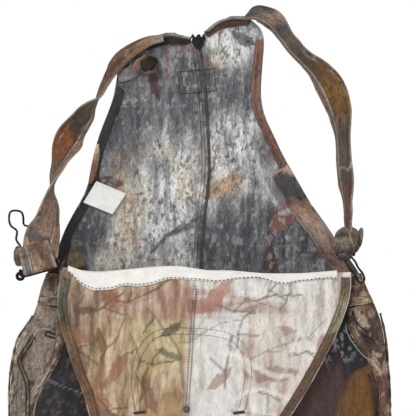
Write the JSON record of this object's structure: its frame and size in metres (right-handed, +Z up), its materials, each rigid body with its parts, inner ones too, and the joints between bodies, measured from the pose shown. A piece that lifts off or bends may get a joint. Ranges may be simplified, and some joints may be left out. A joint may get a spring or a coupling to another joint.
{
  "type": "safety harness vest",
  "caption": "High-backed cloth vest body with a folded-down bib, two shoulder straps with wire hooks, and open sides.",
  "frame": {"origin": "the hanging point: level with the notch in the middle of the back's top edge, in the plane of the side seams", "axes": "+Z up, the front faces -Y, +X to the viewer's right when the front is looked at"},
  "size_m": [0.4979, 0.086, 0.6435],
  "materials": {
    "outside_cloth": "printed cotton twill, worn",
    "inside_cloth": "inside of the printed twill, faded grey",
    "dark_cloth": "printed cotton twill in its dark areas",
    "bib_cloth": "inside of the bib's twill, faded cream",
    "strap_cloth": "folded printed twill",
    "thread": "black polyester overlock thread",
    "white_tape": "white woven tape",
    "patch_leather": "brown leather, plain",
    "black_wire": "black painted wire, rubbed at its bends",
    "tack_metal": "antique brass finish"
  },
  "bodies": {
    "garment": {"back_panel_left": "inside_cloth", "back_panel_right": "inside_cloth", "centre_back_seam": "thread", "armhole_fold_left": "outside_cloth", "armhole_hem_left": "thread", "armhole_fold_right": "outside_cloth", "armhole_hem_right": "outside_cloth", "top_hem_left": "outside_cloth", "top_hem_right": "outside_cloth", "neck_gather_tack": "thread", "back_patch": "patch_leather", "back_bottom_hem": "outside_cloth", "front_panel_left": "dark_cloth", "front_panel_right": "dark_cloth", "centre_front_seam": "thread", "side_panel_left": "outside_cloth", "side_panel_right": "outside_cloth", "side_waistband_left": "outside_cloth", "side_waistband_right": "outside_cloth", "side_placket_left": "outside_cloth", "side_placket_right": "outside_cloth", "front_bottom_hem": "outside_cloth", "side_seam_left": "thread", "side_seam_right": "thread", "side_button_left_tack": "tack_metal", "side_button_right_tack": "tack_metal", "strap_keeper_left": "strap_cloth", "strap_turnback_left": "inside_cloth"},
    "bib": {"bib_panel_left": "bib_cloth", "bib_panel_right": "bib_cloth", "bib_top_hem": "outside_cloth", "bib_centre_seam": "thread", "bib_edge_hem_left": "outside_cloth", "bib_edge_hem_right": "outside_cloth", "waist_facing_tape": "white_tape", "bib_pocket": "outside_cloth", "pocket_snap": "tack_metal", "pocket_bar_tack_left": "thread", "pocket_bar_tack_right": "thread", "bib_button_left_tack": "tack_metal", "bib_button_right_tack": "tack_metal"},
    "left_strap": {"strap_left_upper": "strap_cloth", "strap_left_lower": "strap_cloth"},
    "left_adjuster": {"strap_loop_left": "strap_cloth", "adjuster_rod_left": "black_wire"},
    "left_hook": {"bib_hook_left": "black_wire"},
    "right_strap": {"strap_right_upper": "strap_cloth", "strap_right_lower": "strap_cloth", "strap_right_knot": "strap_cloth", "adjuster_rod_right": "black_wire"},
    "right_hook": {"bib_hook_right": "black_wire"},
    "label": {"care_label": "white_tape"},
    "bib_button_l": {"bib_button_left": "tack_metal"},
    "bib_button_r": {"bib_button_right": "tack_metal"},
    "side_button_l": {"side_button_left": "tack_metal"},
    "side_button_r": {"side_button_right": "tack_metal"}
  },
  "joints": [
    {"name": "bib_fold", "type": "hinge", "parent": "garment", "child": "bib", "pos_m": [0, -0.038, -0.304], "axis": [-1, 0, 0], "range_deg": [0, 165]},
    {"name": "left_strap_swing", "type": "hinge", "parent": "garment", "child": "left_strap", "pos_m": [-0.124, 0.022, -0.047], "axis": [-1, 0, 0], "range_deg": [0, 70]},
    {"name": "left_strap_adjust", "type": "slide", "parent": "left_strap", "child": "left_adjuster", "axis": [0, 0, -1], "range_m": [0, 0.012]},
    {"name": "left_hook_pivot", "type": "hinge", "parent": "left_adjuster", "child": "left_hook", "pos_m": [-0.209, -0.038, -0.30016], "axis": [-0.9659, 0, -0.2588], "range_deg": [0, 70]},
    {"name": "right_strap_swing", "type": "hinge", "parent": "garment", "child": "right_strap", "pos_m": [0.07, 0.017, 0.03], "axis": [-1, 0, 0], "range_deg": [0, 70]},
    {"name": "right_hook_pivot", "type": "hinge", "parent": "right_strap", "child": "right_hook", "pos_m": [0.184, -0.024, -0.2824], "axis": [-1, 0, 0], "range_deg": [0, 120]},
    {"name": "care_label_flip", "type": "hinge", "parent": "garment", "child": "label", "pos_m": [-0.1475, 0.0114, -0.202], "axis": [-0.5163, -0.1005, -0.8505], "range_deg": [0, 110]},
    {"name": "bib_button_left_turn", "type": "hinge", "parent": "bib", "child": "bib_button_l", "pos_m": [-0.115, -0.0366, -0.532], "axis": [0, 1, 0], "continuous": true},
    {"name": "bib_button_right_turn", "type": "hinge", "parent": "bib", "child": "bib_button_r", "pos_m": [0.062, -0.03972, -0.532], "axis": [0, 1, 0], "continuous": true},
    {"name": "side_button_left_turn", "type": "hinge", "parent": "garment", "child": "side_button_l", "pos_m": [-0.203, 0.00313, -0.352], "axis": [0, 1, 0], "continuous": true},
    {"name": "side_button_right_turn", "type": "hinge", "parent": "garment", "child": "side_button_r", "pos_m": [0.205, 0.00268, -0.352], "axis": [0, 1, 0], "continuous": true}
  ]
}
